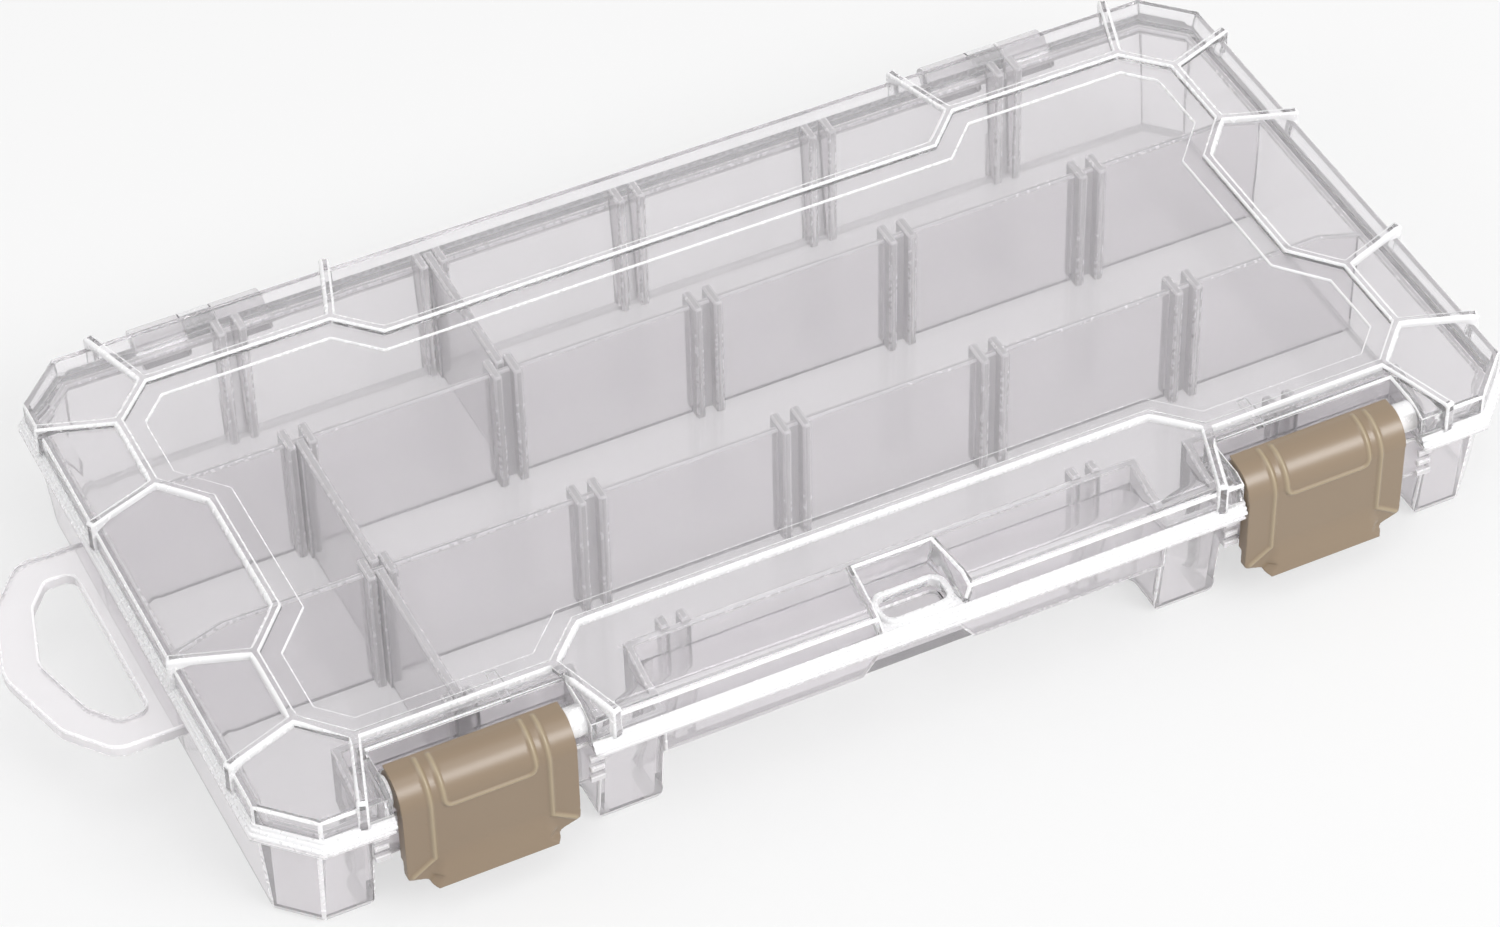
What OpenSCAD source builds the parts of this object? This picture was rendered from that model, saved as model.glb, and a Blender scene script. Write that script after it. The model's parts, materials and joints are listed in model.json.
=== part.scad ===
// Clear divided storage box for art supplies: a frosted tray with three long rows, a clear hinged
// lid with raised ribs, two snap latches on the front edge and removable cross dividers.
// X runs left to right, Y front to back, Z up. The origin is on the floor, under the tray's middle.

/* [Overall] */
// Length over the rims, left to right
box_len = 244.4; // [230:0.2:280]
// Depth over the rims, front to back
box_dep = 129.2; // [122:0.2:150]
// Height from the floor to the top of the lid's ribs
box_h = 32; // [30:0.2:50]
// Corner cut of the rims
corner_cut = 9.5; // [7:0.5:13]

/* [Tray] */
// Wall of the tray at its foot
tray_wall = 1.5; // [1.1:0.1:2]
// Floor of the tray
tray_floor = 1.7; // [1.2:0.1:2.4]
// Thickness of the rim flange
rim_t = 1; // [0.8:0.1:1.6]
// Overhang of the rim past the end walls
rim_over_end = 1.8; // [1.4:0.1:2.4]
// Overhang of the rim past the front and back walls
rim_over_side = 3.3; // [2.8:0.1:3.6]
// Lean of each end wall from rim to foot
draft_end = 1.7; // [0.8:0.1:2.4]
// Lean of the front and back walls from rim to foot
draft_side = 2.6; // [1.6:0.1:3.2]
// Rounding of the foot edges
foot_round = 1.8; // [1:0.1:2.4]
// Height of the lip that stands inside the lid
lip_h = 1.2; // [0.8:0.1:1.6]
// Thickness of that lip
lip_t = 1.4; // [1:0.1:1.8]
// Gap between the lip and the lid's wall
lip_gap = 1; // [0.6:0.1:1.4]

/* [Front edge] */
// Width of the finger recess in the middle
finger_w = 96.8; // [80:0.2:104]
// Width of the recess behind each latch
bay_w = 41.5; // [41.2:0.1:43]
// Distance of each of those recesses from the middle
bay_x = 81.65; // [80.5:0.05:82]
// Depth of the recesses, from the front rim
recess_in = 16.2; // [15.6:0.1:18]
// Rounding of the pillars' foot corners
pillar_round = 3; // [1.4:0.1:3.2]
// Fillet between a pillar and the wall behind it
pillar_fillet = 3.5; // [1:0.1:5]
// Height of the skirt that hangs from the front rim
skirt_h = 8.2; // [6:0.1:9]
// Thickness of the skirt
skirt_t = 1.2; // [0.9:0.1:1.6]
// Width of the arch cut in the skirt
arch_w = 15.6; // [12:0.2:24]
// Height of the arch
arch_h = 4; // [2.6:0.1:5.2]

/* [Compartments] */
// Pitch of the rows, front to back
row_pitch = 36.2; // [34:0.1:36.6]
// Thickness of the two long dividers
long_t = 1.3; // [1:0.1:1.8]
// Pitch of the slots along each row
slot_pitch = 40; // [36:0.5:40]
// Width of one slot rib
slot_rib_w = 1.7; // [1.2:0.1:2.2]
// How far a slot rib stands out of its wall
slot_rib_d = 2.2; // [1.6:0.1:2.8]
// How far the ribs stand above the walls between them
slot_rib_rise = 0.9; // [0.4:0.1:1.2]
// Thickness of a cross divider's edge bars
cross_bar_t = 1.8; // [1.4:0.1:2.2]
// Thickness of a cross divider's web
cross_web_t = 1.1; // [0.8:0.1:1.3]
// Clearance of a cross divider in its slots
cross_gap = 0.25; // [0.15:0.05:0.4]
// Gap between the cross dividers and the lid
top_gap = 0.6; // [0.4:0.1:1]

/* [Lid] */
// Height of the lid, from the parting line to the ribs
lid_h = 8.3; // [8:0.1:10]
// Wall and plate of the lid
lid_wall = 1.4; // [1.1:0.1:1.6]
// Set-back of the lid's end walls from the rim
lid_in_end = 1.2; // [0.8:0.1:1.6]
// Set-back of the lid's front and back walls from the rim
lid_in_side = 1.6; // [1.3:0.1:2]
// Height of the lid's stepped flange
flange_h = 2.3; // [1.8:0.1:2.6]
// Width of the bevel round the top
bevel_w = 2.9; // [2:0.1:3.6]
// Drop of that bevel
bevel_h = 1.1; // [0.6:0.1:1.5]
// Height of the raised ribs
rib_h = 1.1; // [0.6:0.1:1.4]
// Width of the raised ribs
rib_w = 2; // [1.4:0.1:2.4]
// Depth of the step round the middle panel
panel_step = 0.4; // [0.2:0.05:0.7]
// Distance from the ribs' loop to the panel's step
panel_in = 4.6; // [3.4:0.1:6]
// Distance from the rim to the loop behind the latches
loop_in_front = 15.9; // [15.2:0.1:17]
// Distance from the rim to the loop near the corners
loop_in_end = 14.5; // [12:0.1:17]
// Height of the loop's middle waist, above and below the latch part
waist = 7.5; // [5:0.1:9]
// Half height of the loop's end straight
end_half = 14.7; // [10:0.1:18]
// Sideways splay of the spokes
splay = 5; // [3:0.1:6]

/* [Latches] */
// Width of a latch
latch_w = 32; // [30:0.1:32.4]
// Sideways shift of both latches in their notches, the same way
latch_shift = -1.45; // [-1.5:0.05:1.5]
// Skin of a latch
latch_skin = 1.7; // [1.3:0.1:2]
// Depth of the latch's curved top
latch_cap = 7.8; // [7:0.1:8.2]
// Radius of the latch's shoulder
latch_round = 5.5; // [4:0.1:6]
// Drop from the parting line to the latch's crease
crease_drop = 10.4; // [9.6:0.1:12]
// Drop from the parting line to the latch's lower corners
corner_drop = 14; // [12.6:0.1:15]
// Drop from the parting line to the tip of the finger lip
tip_drop = 16.5; // [15.2:0.1:18]
// Width of the finger lip
tip_w = 23; // [18:0.5:26]
// How far the finger lip flares out
flare = 1.2; // [0.6:0.1:1.6]
// Radius of the pins that the latches turn on
latch_pin_r = 1.3; // [1:0.05:1.5]
// Clearance round those pins and the hinge pins
pin_fit = 0.05; // [0.02:0.01:0.08]

/* [Lock tab] */
// Width of the pocket in the lid's front edge
pocket_w = 19; // [17:0.5:24]
// Depth of the pocket, from the front rim
pocket_in = 14.1; // [13.4:0.1:14.4]
// Width of the lock hole
hole_w = 12; // [8:0.5:13]
// Depth of the lock hole
hole_d = 5.4; // [4.6:0.1:5.8]

/* [Loop] */
// Width of the carrying loop at its root
loop_w = 49.8; // [40:1:70]
// Reach of the loop from the rim
loop_reach = 23.5; // [20:0.1:30]
// Thickness of the loop
loop_t = 2.6; // [2:0.1:3.4]
// Width of the loop's band
loop_band = 6.7; // [5:0.1:8]

/* [Hinges] */
// Radius of the hinge knuckles
knuckle_r = 2.6; // [2.3:0.1:2.8]
// Length of each tray knuckle
knuckle_len = 9.5; // [7:0.1:11]
// Length of the lid's knuckle between them
lid_knuckle_len = 5.9; // [4:0.1:8]
// Radius of the hinge pins
hinge_pin_r = 1.15; // [0.9:0.05:1.3]
// Distance of each hinge from the middle
hinge_x = 81.65; // [76:0.05:86]
// Sideways shift of both hinges, the same way
hinge_shift = -1.65; // [-3:0.05:3]

/* [Hidden] */
$fn = 48;
e = 0.5; // how far a cut runs past the face it opens
arc_n = 5; // steps of a rounded corner

// main levels and half sizes
hx = box_len / 2;
hy = box_dep / 2;
part_z = box_h - lid_h;
rim_z = part_z - rim_t;
plate_z = box_h - rib_h;
under_z = plate_z - lid_wall;
lip_z = part_z + lip_h;

// tray walls, as distances in from the rim
foot_end = rim_over_end + draft_end;
foot_side = rim_over_side + draft_side;
lip_end = lid_in_end + lid_wall + lip_gap;
lip_side = lid_in_side + lid_wall + lip_gap;

// compartments
cross_top = under_z - top_gap;
wall_top = cross_top - slot_rib_rise;
recess_y = -hy + recess_in;
front_y = recess_y + tray_wall;
long_y = [for (i = [1, 2]) front_y - long_t / 2 + i * row_pitch];
back_foot_y = hy - foot_side - tray_wall;
slot_half = cross_bar_t / 2 + cross_gap;
slots = [for (i = [-2:2]) i * slot_pitch];
slope_end_y = -hy + lip_side + lip_t;

// latch
latch_inset = 0.2;
latch_face = hy - latch_inset;
latch_back_y = -latch_face + latch_cap;
latch_axis = [-hy + 5.6, part_z + 3.9];
latch_top = box_h - 0.5;
latch_clear = 0.4;
side_plate = 1.6;
side_depth = latch_face - (hy - rim_over_side) - latch_clear;
ear_r = 3.4;
ridge_h = 0.9;
notch_play = 2.1;
notch_half = latch_w / 2 + notch_play;
notch_in = 12.6;
notch_off = 0.4;
rim_gap = 0.3;
boss_r = latch_pin_r + 1.5;
boss_gap = 0.3;
pin_in = 1.4;

// small features of the front edge and the loop
arch_foot = 3;
rail_len = bay_w / 2 - notch_half - notch_off;
rail_out = 0.8;
loop_drop = 0.7;
loop_root = 3.1;
loop_bend = 8.5;
loop_round = 5;

// lid
bump_half = bay_w / 2 - 2.5;
spoke_out = 0.8;
gusset_gap = 0.2;
flange_steps = 3;
flange_step = 0.5;

// lock tab
hole_rim_w = 1.2;
hole_rim_h = 0.8;
pocket_z = part_z + flange_h;
pocket_floor = 1.2;
pocket_splay = 1.6;
hole_y = -hy + 6.3;
hole_round = 1.6;

// hinges
hinge_axis = [hy + 2, part_z + 0.1];
knuckle_gap = 0.3;
hinge_half = lid_knuckle_len / 2 + knuckle_gap + knuckle_len;
hinges = [-hinge_x + hinge_shift, hinge_x + hinge_shift];
knuckle_clear = 0.4;

// the notches in the lid, and the latches, which sit off the middle of them
notches = [notch_off - bay_x, bay_x - notch_off];
latch_off = 0.7;
latches = [latch_off - bay_x + latch_shift, bay_x - latch_off + latch_shift];
// the recesses behind the front edge, as [from, to] along X
recesses = [[-bay_x - bay_w / 2, -bay_x + bay_w / 2],
            [-finger_w / 2, finger_w / 2],
            [bay_x - bay_w / 2, bay_x + bay_w / 2]];

// an eight-sided rim outline, set in from the rim by dx at the ends and dy at the sides
function rim(dx, dy) =
    let (x = hx - dx, y = hy - dy, c = corner_cut - (1 - sqrt(0.5)) * (dx + dy))
    [[-x + c, -y], [x - c, -y], [x, -y + c], [x, y - c], [x - c, y], [-x + c, y], [-x, y - c], [-x, -y + c]];

// an outline moved inwards by d, with its corners kept sharp
function inset(p, d) =
    [for (i = [0:len(p) - 1])
        let (a = p[(i + len(p) - 1) % len(p)], b = p[i], c = p[(i + 1) % len(p)],
             u = (b - a) / norm(b - a), v = (c - b) / norm(c - b),
             m = [-u.y, u.x], n = [-v.y, v.x])
        b + d * (m + n) / (1 + m * n)];

// an outline with each corner rounded by its own radius
function rounded(p, r) =
    [for (i = [0:len(p) - 1])
        let (a = p[(i + len(p) - 1) % len(p)], b = p[i], c = p[(i + 1) % len(p)],
             u = (a - b) / norm(a - b), v = (c - b) / norm(c - b),
             half = acos(u * v) / 2,
             mid = b + r[i] / sin(half) * (u + v) / norm(u + v),
             from = b + u * r[i] / tan(half) - mid,
             to = b + v * r[i] / tan(half) - mid,
             turn = atan2(from.x * to.y - from.y * to.x, from * to))
        for (k = [0:arc_n])
            let (t = turn * k / arc_n)
            mid + [from.x * cos(t) - from.y * sin(t), from.x * sin(t) + from.y * cos(t)]];

function arc(c, r, a0, a1) =
    [for (k = [0:arc_n]) let (t = a0 + (a1 - a0) * k / arc_n) c + r * [cos(t), sin(t)]];

// a solid between outlines of equal length, given as [height, outline] from the lowest up
module loft(s) {
    n = len(s[0][1]);
    last = len(s) - 1;
    polyhedron(
        points = [for (q = s) for (p = q[1]) [p.x, p.y, q[0]]],
        faces = concat(
            [[for (i = [0:n - 1]) i]],
            [[for (i = [n - 1:-1:0]) last * n + i]],
            [for (k = [0:last - 1]) for (i = [0:n - 1])
                let (j = (i + 1) % n) for (f = [0, 1])
                f == 0 ? [k * n + i, (k + 1) * n + i, (k + 1) * n + j]
                       : [k * n + i, (k + 1) * n + j, k * n + j]]));
}

module slab(outline, z0, z1) {
    translate([0, 0, z0]) linear_extrude(z1 - z0) polygon(outline);
}

module block(x0, x1, y0, y1, z0, z1) {
    translate([x0, y0, z0]) cube([x1 - x0, y1 - y0, z1 - z0]);
}

// a YZ outline carried along X
module along_x(x0, x1, yz) {
    translate([x0, 0, 0]) rotate([90, 0, 90]) linear_extrude(x1 - x0) polygon(yz);
}

// an XZ outline carried along Y
module along_y(y0, y1, xz) {
    translate([0, y1, 0]) rotate([90, 0, 0]) linear_extrude(y1 - y0) polygon(xz);
}

module rod(x0, x1, yz, r) {
    translate([x0, yz.x, yz.y]) rotate([0, 90, 0]) cylinder(r = r, h = x1 - x0);
}

// ---------------------------------------------------------------- tray

module tray_outside() {
    foot = [for (k = [0:arc_n]) let (t = 90 * k / arc_n)
        [foot_round * (1 - cos(t)),
         rim(foot_end + foot_round * (1 - sin(t)), foot_side + foot_round * (1 - sin(t)))]];
    loft(concat(foot, [[rim_z + e, rim(rim_over_end, rim_over_side)]]));
    slab(rim(0, 0), rim_z, part_z);
}

// the inside, without the walls round the recesses
module tray_inside() {
    difference() {
        loft([[tray_floor, rim(foot_end + tray_wall, foot_side + tray_wall)],
              [part_z, rim(lip_end + lip_t, lip_side + lip_t)],
              [lip_z + e, rim(lip_end + lip_t, lip_side + lip_t)]]);
        for (r = recesses)
            block(r[0] - tray_wall, r[1] + tray_wall, -hy, front_y, 0, lip_z + 2 * e);
    }
}

// the plan of the room behind the front edge, widened by g at each side
function recess_plan(r, g) =
    let (q = pillar_fillet, y = recess_y - q)
    concat([[r[0] - g, -hy - e], [r[1] + g, -hy - e]], arc([r[1] + g - q, y], q, 0, 90),
           arc([r[0] - g + q, y], q, 90, 180));

// the room under the rim, with the pillars' foot corners rounded
module recess_cut(r) {
    q = pillar_round;
    loft(concat([[-e, recess_plan(r, q)]],
                [for (k = [0:arc_n]) let (t = 90 * k / arc_n)
                    [q * (1 - cos(t)), recess_plan(r, q * (1 - sin(t)))]],
                [[rim_z, recess_plan(r, 0)]]));
}

// the wall round a recess above the rim: level behind, sloping down at the two sides
module recess_wall(r) {
    lip_y = -hy + lip_side;
    difference() {
        along_x(r[0] - tray_wall, r[1] + tray_wall,
            [[lip_y, part_z - rim_t / 2], [front_y, part_z - rim_t / 2], [front_y, wall_top],
             [recess_y, wall_top], [slope_end_y, lip_z], [lip_y, lip_z]]);
        block(r[0], r[1], lip_y - e, recess_y, part_z - rim_t, wall_top + e);
    }
}

module tray_lip() {
    difference() {
        slab(rim(lip_end, lip_side), part_z - rim_t / 2, lip_z);
        tray_inside();
        for (r = recesses)
            block(r[0], r[1], -hy, recess_y, part_z - rim_t, lip_z + e);
    }
}

// a long divider, whose ends slope down to the lip
module long_divider(y) {
    x = hx - lip_end - lip_t / 2;
    run = 9;
    along_y(y - long_t / 2, y + long_t / 2,
        [[-x, tray_floor - e], [x, tray_floor - e], [x, lip_z], [x - run, wall_top],
         [-x + run, wall_top], [-x, lip_z]]);
}

// two ribs that hold a cross divider's edge, from the wall at y0 to y1
module slot_ribs(x, y0, y1) {
    for (s = [-1, 1])
        translate([x + s * (slot_half + slot_rib_w / 2) - slot_rib_w / 2, y0, tray_floor - e])
            cube([slot_rib_w, y1 - y0, cross_top - tray_floor + e]);
}

module all_slot_ribs() {
    sink = long_t / 2;
    for (x = slots) {
        for (y = long_y)
            slot_ribs(x, y - long_t / 2 - slot_rib_d, y + long_t / 2 + slot_rib_d);
        intersection() {
            slot_ribs(x, back_foot_y - slot_rib_d, hy - lip_side - lip_t / 2);
            slab(rim(lip_end + lip_t / 2, lip_side + lip_t / 2), 0, cross_top);
        }
        if (x != 0) slot_ribs(x, front_y - sink, front_y + slot_rib_d);
    }
}

// the skirt that hangs from the front rim, with an arch in its middle
module skirt() {
    y = -hy + rim_over_side;
    z = rim_z - skirt_h;
    a = arch_w / 2;
    difference() {
        for (r = recesses)
            block(r[0] - e, r[1] + e, y, y + skirt_t, z, rim_z + rim_t / 2);
        along_y(y - e, y + skirt_t + e,
            [[-a - arch_foot, z - e], [a + arch_foot, z - e], [a + arch_foot, z], [a, z + arch_h],
             [-a, z + arch_h], [-a - arch_foot, z]]);
    }
}

// small steps on the skirt beside each latch, where its snap rails end
module catch_rails() {
    y = -hy + rim_over_side;
    for (r = [recesses[0], recesses[2]])
        for (x = [[r[0] - e, r[0] + rail_len], [r[1] - rail_len, r[1] + e]])
            for (k = [0:2])
                block(x[0], x[1], y - rail_out, y + skirt_t / 2,
                      rim_z - skirt_h + k * 2.4, rim_z - skirt_h + k * 2.4 + 1.2);
}

// the carrying loop on the left end, with the slot that a hand or a hook goes through
module loop() {
    w = loop_w / 2;
    tip = hx + loop_reach;
    bend = tip - 4.6;
    p = [[-hx + loop_root, w], [-bend + loop_bend * 0.8, w], [-bend, w - loop_bend], [-tip, 0],
         [-bend, loop_bend - w], [-bend + loop_bend * 0.8, -w], [-hx + loop_root, -w]];
    translate([0, 0, rim_z - loop_drop - loop_t]) linear_extrude(loop_t)
        difference() {
            polygon(rounded(p, [0.5, loop_round, loop_round, loop_round * 2, loop_round, loop_round, 0.5]));
            polygon(rounded(inset(p, loop_band), [2, 2, 2, loop_round, 2, 2, 2]));
        }
}

module tray_knuckles(x) {
    web_z = hinge_axis.y - knuckle_r;
    for (s = [-1, 1]) {
        x0 = x + s * (hinge_half - knuckle_len / 2) - knuckle_len / 2;
        rod(x0, x0 + knuckle_len, hinge_axis, knuckle_r);
        block(x0, x0 + knuckle_len, hy - rim_over_side - tray_wall / 2, hinge_axis.x, web_z, part_z);
    }
}

module tray() color([0.93, 0.94, 0.96, 0.6]) {
    difference() {
        union() {
            difference() {
                tray_outside();
                tray_inside();
                for (r = recesses) recess_cut(r);
                // the rim steps back behind each latch and round the lid's hinge knuckles
                for (x = notches)
                    block(x - notch_half - rim_gap, x + notch_half + rim_gap, -hy - e,
                          -hy + rim_over_side, rim_z - e, part_z + e);
                for (x = hinges)
                    block(x - lid_knuckle_len / 2 - knuckle_gap, x + lid_knuckle_len / 2 + knuckle_gap,
                          hinge_axis.x - knuckle_r - knuckle_clear, hy + e, rim_z - e, part_z + e);
            }
            tray_lip();
            for (r = recesses) recess_wall(r);
            for (y = long_y) long_divider(y);
            all_slot_ribs();
            skirt();
            catch_rails();
            loop();
            for (x = hinges) tray_knuckles(x);
        }
        for (x = hinges) rod(x - hinge_half - e, x + hinge_half + e, hinge_axis, hinge_pin_r + pin_fit);
        lock_hole(0, rim_z - e, part_z + e);
    }
}

module hinge_pin(x) color("silver")
    rod(x - hinge_half, x + hinge_half, hinge_axis, hinge_pin_r);

// ---------------------------------------------------------------- lid

// the loop of raised ribs: a waisted ring with a bump behind each latch and at each end
function ring() =
    let (bx = bump_half, y1 = hy - loop_in_front, x1 = hx - loop_in_end,
         q = [[x1 - waist, end_half], [x1, end_half + waist * 1.13],
              [x1, y1 - waist * 1.08], [bay_x + bx, y1], [bay_x - bx, y1], [bay_x - bx - waist, y1 - waist]],
         n = len(q) - 1)
    concat(q, [for (i = [n:-1:0]) [-q[i].x, q[i].y]], [for (p = q) -p],
           [for (i = [n:-1:0]) [q[i].x, -q[i].y]]);

// each spoke runs from a corner of the ring, [x, y], to the wall, [x, y]
function spokes() =
    let (r = ring(), wx = hx - lid_in_end + spoke_out, wy = hy - lid_in_side + spoke_out)
    [for (sx = [-1, 1]) for (sy = [-1, 1])
        for (k = [[r[1], [wx, r[1].y - splay]], [r[2], [wx, r[2].y + splay]],
                  [r[3], [r[3].x + splay, wy]], [r[4], [r[4].x - splay, wy]]])
            [[sx * k[0].x, sy * k[0].y], [sx * k[1].x, sy * k[1].y]]];

// a straight bar that starts the distance back before a and ends at b
module bar(a, b, back, w, z0, z1) {
    d = b - a;
    translate([a.x, a.y, z0]) rotate([0, 0, atan2(d.y, d.x)])
        translate([-back, -w / 2, 0]) cube([norm(d) + back, w, z1 - z0]);
}

module lid_outside() {
    wall_z = part_z + flange_h;
    loft([[wall_z - e, rim(lid_in_end, lid_in_side)],
          [plate_z - bevel_h, rim(lid_in_end, lid_in_side)],
          [plate_z, rim(lid_in_end + bevel_w, lid_in_side + bevel_w)]]);
    for (k = [0:flange_steps - 1])
        slab(rim(k * flange_step, k * flange_step), part_z, part_z + flange_h * (k + 1) / flange_steps);
    difference() {
        slab(inset(ring(), -rib_w / 2), plate_z - e, box_h);
        slab(inset(ring(), rib_w / 2), plate_z - 2 * e, box_h + e);
    }
    for (s = spokes())
        bar(s[0], s[1], rib_w / 5, rib_w, wall_z - e, box_h);
}

// the notch that a latch swings in, grown on all sides by g
module notch(x, g, z0) {
    w = notch_half + g;
    block(x - w, x + w, -hy - e, -hy + notch_in + g, z0, box_h + e);
}

// the pocket over the lock hole, grown by g
module pocket(g, z0) {
    w = pocket_w / 2 + g;
    y = -hy + pocket_in + g;
    y0 = -hy - e;
    loft([[z0, [[pocket_splay - w, y0], [w - pocket_splay, y0], [w - 2 * pocket_splay, y - 1],
                [2 * pocket_splay - w, y - 1]]],
          [box_h + e, [[-w, y0], [w, y0], [w - pocket_splay, y], [pocket_splay - w, y]]]]);
}

module lid_inside() {
    difference() {
        loft([[part_z - e, rim(lid_in_end + lid_wall, lid_in_side + lid_wall)],
              [plate_z - bevel_h - lid_wall / 2, rim(lid_in_end + lid_wall, lid_in_side + lid_wall)],
              [under_z, rim(lid_in_end + lid_wall + bevel_w, lid_in_side + lid_wall + bevel_w)]]);
        for (x = notches) {
            notch(x, lid_wall, part_z - 2 * e);
            // a short gusset that stiffens the plate behind the notch
            gx = x - sign(x) * latch_w / 4;
            block(gx - rib_w / 2, gx + rib_w / 2, -hy + notch_in, -hy + loop_in_front + panel_in,
                  cross_top + gusset_gap, box_h);
        }
        pocket(lid_wall, pocket_z - pocket_floor);
    }
}

// the lock hole's outline carried up, grown by g
module lock_hole(g, z0, z1) {
    w = hole_w / 2 + g;
    d = hole_d / 2 + g;
    q = hole_round + g;
    slab(rounded([[-w, hole_y - d], [w, hole_y - d], [w, hole_y + d], [-w, hole_y + d]], [q, q, q, q]), z0, z1);
}

// the pins that a latch turns on, each with a boss that fills the gap beside the latch
module latch_pins(i) {
    for (s = [-1, 1]) {
        side = latches[i] + s * latch_w / 2;
        wall = notches[i] + s * (notch_half + lid_wall / 2);
        boss = side + s * boss_gap;
        pin = side - s * pin_in;
        rod(min(wall, boss), max(wall, boss), latch_axis, boss_r);
        rod(min(wall, pin), max(wall, pin), latch_axis, latch_pin_r);
    }
}

module lid_knuckle(x) {
    rod(x - lid_knuckle_len / 2, x + lid_knuckle_len / 2, hinge_axis, knuckle_r);
    block(x - lid_knuckle_len / 2, x + lid_knuckle_len / 2, hy - lid_in_side - lid_wall / 2, hinge_axis.x,
          hinge_axis.y, hinge_axis.y + knuckle_r);
}

module lid() color([0.95, 0.96, 0.98, 0.35]) {
    difference() {
        union() {
            difference() {
                lid_outside();
                lid_inside();
                for (x = notches) notch(x, 0, part_z - e);
                pocket(0, pocket_z);
                // the middle panel lies a step lower than the band round it
                slab(inset(ring(), panel_in), plate_z - panel_step, box_h + e);
                // the flange steps back round the tray's hinge knuckles
                for (x = hinges) for (s = [-1, 1]) {
                    c = x + s * (hinge_half - knuckle_len / 2);
                    block(c - knuckle_len / 2 - knuckle_gap, c + knuckle_len / 2 + knuckle_gap,
                          hinge_axis.x - knuckle_r - knuckle_clear, hy + e, part_z - e, box_h);
                }
            }
            for (i = [0, 1]) latch_pins(i);
            for (x = hinges) lid_knuckle(x);
            lock_hole(hole_rim_w, pocket_z - pocket_floor / 2, pocket_z + hole_rim_h);
        }
        for (x = hinges)
            rod(x - lid_knuckle_len, x + lid_knuckle_len, hinge_axis, hinge_pin_r + pin_fit);
        lock_hole(0, part_z - e, box_h);
    }
}

// ---------------------------------------------------------------- latches

// the latch's outer line from its back edge over the shoulder, for a skin set in by g
function latch_line(g) =
    let (c = [-latch_face + latch_round, latch_top - latch_round])
    concat([[latch_back_y, latch_top - g]], arc(c, latch_round - g, 90, 180));

module latch_shell() {
    crease_z = part_z - crease_drop;
    w = latch_w / 2;
    in = w - side_plate;
    difference() {
        union() {
            along_x(-w, w, concat(latch_line(0), [[-latch_face, crease_z], [side_depth - latch_face, crease_z],
                                                  [side_depth - latch_face, latch_axis.y - 2]]));
            rod(-w, w, latch_axis, ear_r);
        }
        along_x(-in, in, concat(latch_line(latch_skin),
            [[latch_skin - latch_face, crease_z - e], [latch_back_y + ear_r, crease_z - e],
             [latch_back_y + ear_r, latch_top - latch_skin]]));
    }
}

// the lower part, which narrows and flares out into the finger lip
module finger_lip() {
    f = -latch_face;
    w = latch_w / 2;
    b = f + latch_skin;
    t = tip_w / 2;
    out = flare * 0.4;
    loft([[part_z - tip_drop, [[-t, f - flare], [t, f - flare], [t, b - flare], [-t, b - flare]]],
          [part_z - corner_drop, [[-w, f - out], [w, f - out], [w, b - out], [-w, b - out]]],
          [part_z - crease_drop + 0.01, [[-w, f], [w, f], [w, b], [-w, b]]]]);
}

module latch(x) color([0.63, 0.54, 0.42]) translate([x, 0, 0]) {
    w = latch_w / 2;
    crease_z = part_z - crease_drop;
    difference() {
        union() {
            latch_shell();
            finger_lip();
            // the ridge that snaps past the skirt's foot
            block(-w, w, latch_skin - latch_face - e, side_depth - latch_face, crease_z, crease_z + ridge_h);
        }
        rod(-w - e, w + e, latch_axis, latch_pin_r + pin_fit);
    }
}

// ---------------------------------------------------------------- cross dividers

// a cross divider between y0 and y1, whose far end leans out to y2 at the top
module cross_divider(x, y0, y1, y2) color([0.95, 0.96, 0.97, 0.6]) {
    a = y0 + cross_gap;
    b = y1 - cross_gap;
    c = y2 - cross_gap;
    z = tray_floor;
    bar_w = slot_rib_d + 0.8;
    bar_h = 1.8;
    t = cross_bar_t / 2;
    along_x(x - cross_web_t / 2, x + cross_web_t / 2, [[a, z], [b, z], [c, cross_top], [a, cross_top]]);
    along_x(x - t, x + t, [[a, z], [a + bar_w, z], [a + bar_w, cross_top], [a, cross_top]]);
    along_x(x - t, x + t, [[b - bar_w, z], [b, z], [c, cross_top], [c - bar_w, cross_top]]);
    along_x(x - t, x + t, [[a, cross_top - bar_h], [c, cross_top - bar_h], [c, cross_top], [a, cross_top]]);
}

half = long_t / 2;
back_top_y = hy - lip_side - lip_t;

tray();
lid();
latch(latches[0]);  // latch_left
latch(latches[1]);  // latch_right
hinge_pin(hinges[0]);  // hinge_pin_left
hinge_pin(hinges[1]);  // hinge_pin_right
cross_divider(slots[1], long_y[1] + half, back_foot_y, back_top_y);  // cross_divider_back
cross_divider(slots[0], long_y[0] + half, long_y[1] - half, long_y[1] - half);  // cross_divider_middle
cross_divider(slots[0], front_y, long_y[0] - half, long_y[0] - half);  // cross_divider_front
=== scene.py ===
"""Looks of a clear divided box for art supplies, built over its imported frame.

The tray, the lid, the cross dividers and the hinge pins are clear mouldings with softened edges, and the
two latches are satin tan mouldings with raised lines. Each sub-assembly is a class, and each finish is a
frozen dataclass that builds its own material.
"""
from __future__ import annotations

import json
import logging
import math
from dataclasses import dataclass
from enum import Enum

import bmesh
import bpy
from mathutils import Matrix, Vector

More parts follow.
